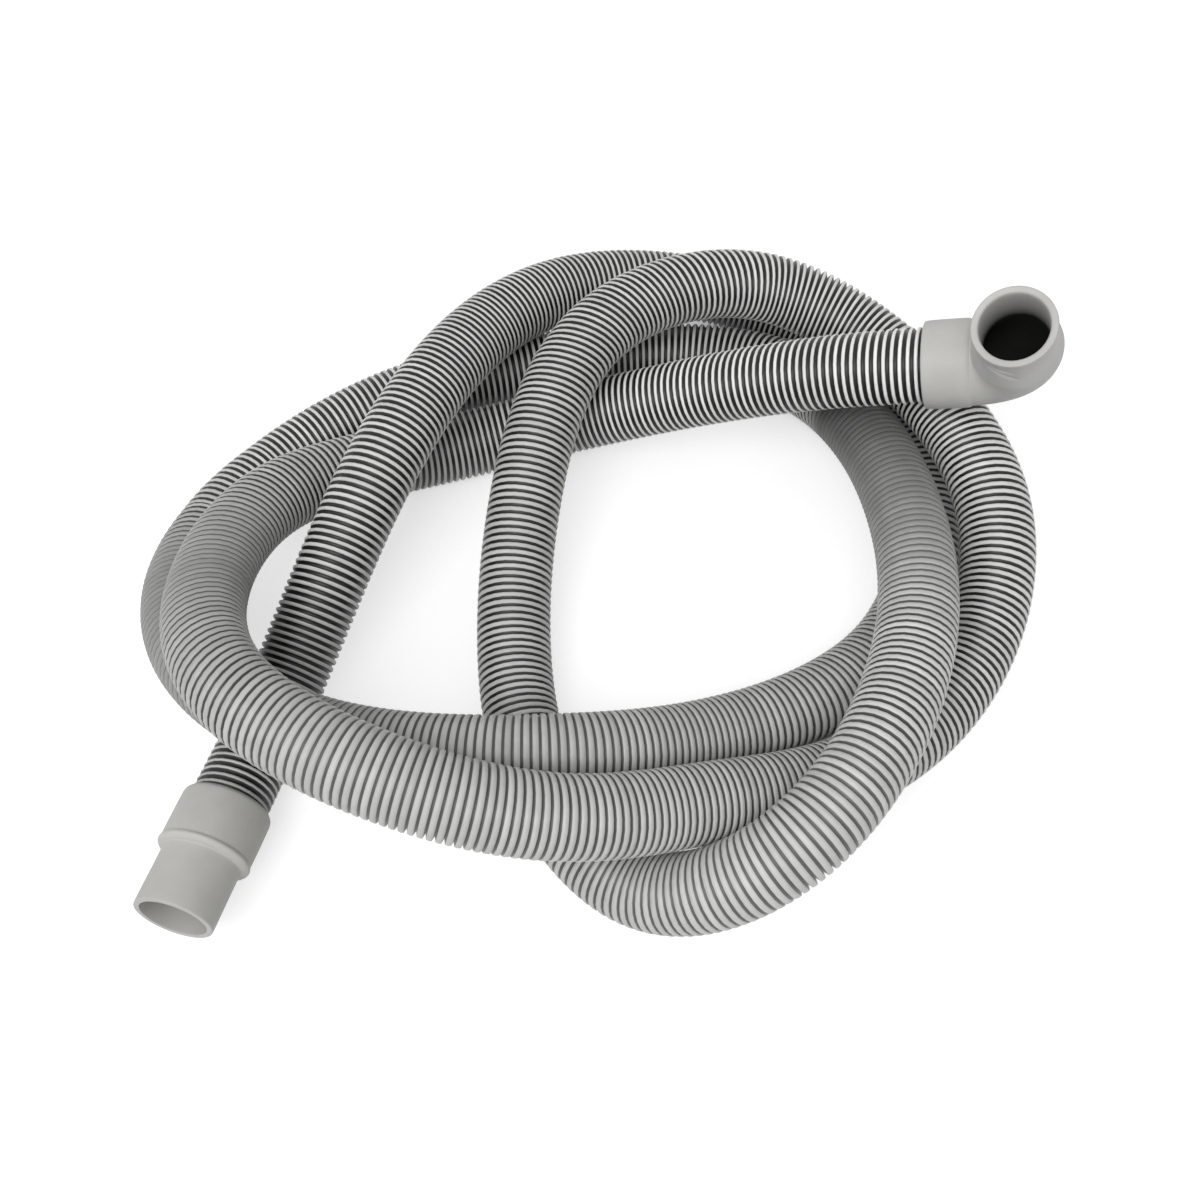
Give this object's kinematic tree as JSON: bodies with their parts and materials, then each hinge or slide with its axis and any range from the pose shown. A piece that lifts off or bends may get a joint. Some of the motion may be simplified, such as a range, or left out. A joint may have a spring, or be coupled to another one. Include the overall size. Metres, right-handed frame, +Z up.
{
  "type": "washing machine hose",
  "caption": "Corrugated drain hose lying in loose loops, with a moulded elbow cuff on one end and a straight push-on cuff on the other.",
  "frame": {"origin": "on the resting plane, under the middle of the whole object's box", "axes": "+Z up; +X along the loops' longer side, towards the elbow cuff; +Y away from the straight cuff's mouth"},
  "size_m": [0.2938, 0.2617, 0.1087],
  "materials": {
    "hose_plastic": "blow-moulded grey polypropylene, satin crests, dark deep grooves",
    "cuff_plastic": "matt warm light grey soft moulding"
  },
  "bodies": {
    "root": {"corrugated_hose": "hose_plastic", "elbow_cuff": "cuff_plastic", "straight_cuff": "cuff_plastic"}
  },
  "joints": []
}
